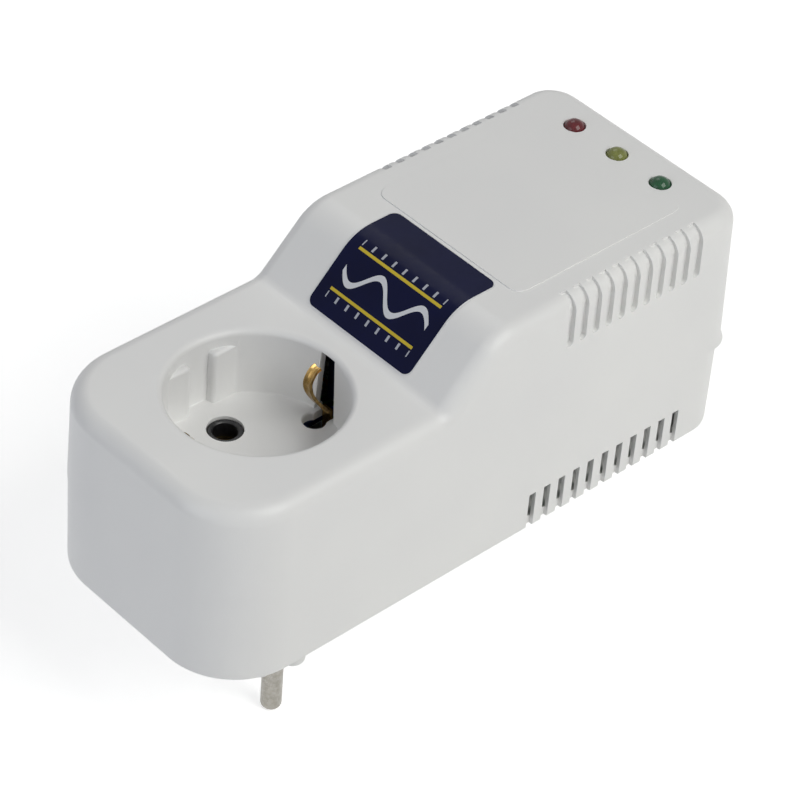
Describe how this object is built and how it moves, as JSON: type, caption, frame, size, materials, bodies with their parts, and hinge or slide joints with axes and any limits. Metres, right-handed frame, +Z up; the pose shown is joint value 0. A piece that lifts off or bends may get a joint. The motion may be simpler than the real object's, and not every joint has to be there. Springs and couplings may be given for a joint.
{
  "type": "plug-in voltage protector",
  "caption": "Plug-in voltage protector for an appliance: an earthed round plug below, an earthed socket well on top and indicator lamps on a sloped hump.",
  "frame": {"origin": "centre of the plug's face, between the two pins where they leave the plug body", "axes": "+Z up through the socket, +X along the housing to the lamp end, +Y across it"},
  "size_m": [0.149, 0.0628, 0.0999],
  "materials": {
    "white_housing": "moulded, soft gloss",
    "label_film": "printed film",
    "black_insulator": "moulded",
    "contact_brass": "pressed strip",
    "spring_bronze": "sprung strip, tarnished",
    "pin_nickel": "turned, dull nickel",
    "screw_steel": "zinc plated",
    "tinned_leads": "tinned",
    "board_laminate": "solder-masked laminate",
    "lens_red": "tinted epoxy",
    "lens_yellow": "tinted epoxy",
    "lens_green": "tinted epoxy",
    "relay_case": "moulded",
    "iron_parts": "nickel-plated iron",
    "enamelled_copper": "wound wire",
    "core_steel": "stacked laminations",
    "former_plastic": "moulded",
    "can_sleeve": "shrunk sleeve on an aluminium can",
    "orange_lacquer": "dipped",
    "blue_lacquer": "dipped",
    "fuse_glass": "glass tube with plated caps",
    "chip_epoxy": "moulded epoxy",
    "resistor_lacquer": "lacquered",
    "trimmer_blue": "moulded",
    "trimmer_cream": "moulded",
    "brown_insulation": "extruded",
    "blue_insulation": "extruded",
    "green_insulation": "extruded, striped",
    "grey_insulation": "extruded"
  },
  "bodies": {
    "root": {"top_housing": "white_housing", "bottom_housing": "white_housing", "label": "label_film", "contact_carrier": "black_insulator", "pin_clamp": "black_insulator", "relay_base": "black_insulator", "relay_bobbin": "black_insulator", "live_contact": "contact_brass", "neutral_contact": "contact_brass", "earth_strap": "contact_brass", "plug_earth_strap": "contact_brass", "fuse_clips": "contact_brass", "relay_fixed_contact": "contact_brass", "live_pin": "pin_nickel", "neutral_pin": "pin_nickel", "carrier_screws": "screw_steel", "clamp_screw": "screw_steel", "board_screws": "screw_steel", "led_board_screws": "screw_steel", "housing_screws": "screw_steel", "led_leads": "tinned_leads", "chip_legs": "tinned_leads", "circuit_board": "board_laminate", "led_board": "board_laminate", "led_red": "lens_red", "led_yellow": "lens_yellow", "led_green": "lens_green", "relay_cover": "relay_case", "relay_yoke": "iron_parts", "relay_winding": "enamelled_copper", "transformer_winding": "enamelled_copper", "transformer_core": "core_steel", "transformer_bobbin": "former_plastic", "filter_capacitor": "can_sleeve", "small_capacitors": "orange_lacquer", "varistor": "blue_lacquer", "fuse_tube": "fuse_glass", "regulator": "chip_epoxy", "comparator_chip": "chip_epoxy", "diodes": "chip_epoxy", "resistors": "resistor_lacquer", "trimmer_bodies": "trimmer_blue", "live_wire": "brown_insulation", "switched_live_wire": "brown_insulation", "neutral_wire": "blue_insulation", "neutral_tap_wire": "blue_insulation", "earth_wire": "green_insulation", "led_wires": "grey_insulation"},
    "earth_clip_front": {"earth_clip_front": "spring_bronze"},
    "earth_clip_rear": {"earth_clip_rear": "spring_bronze"},
    "relay_arm": {"relay_armature": "iron_parts", "relay_leaf": "spring_bronze"},
    "low_trimmer": {"trimmer_low_rotor": "trimmer_cream"},
    "high_trimmer": {"trimmer_high_rotor": "trimmer_cream"}
  },
  "joints": [
    {"name": "earth_clip_front_flex", "type": "hinge", "parent": "root", "child": "earth_clip_front", "pos_m": [-0.0206, 0, 0.035], "axis": [0, -1, 0], "range_deg": [0, 4], "stiffness_Nm_per_rad": 0.6},
    {"name": "earth_clip_rear_flex", "type": "hinge", "parent": "root", "child": "earth_clip_rear", "pos_m": [0.0206, 0, 0.035], "axis": [0, 1, 0], "range_deg": [0, 4], "stiffness_Nm_per_rad": 0.6},
    {"name": "relay_pull_in", "type": "hinge", "parent": "root", "child": "relay_arm", "pos_m": [0.06275, 0.00565, 0.04785], "axis": [0, -1, 0], "range_deg": [0, 2.3], "stiffness_Nm_per_rad": 0.05, "springref_deg": -2.86},
    {"name": "low_trimmer_turn", "type": "hinge", "parent": "root", "child": "low_trimmer", "pos_m": [0.07685, -0.01794, 0.0351], "axis": [0, 0, 1], "range_deg": [-130, 130]},
    {"name": "high_trimmer_turn", "type": "hinge", "parent": "root", "child": "high_trimmer", "pos_m": [0.07685, -0.01094, 0.0351], "axis": [0, 0, 1], "range_deg": [-130, 130]}
  ]
}
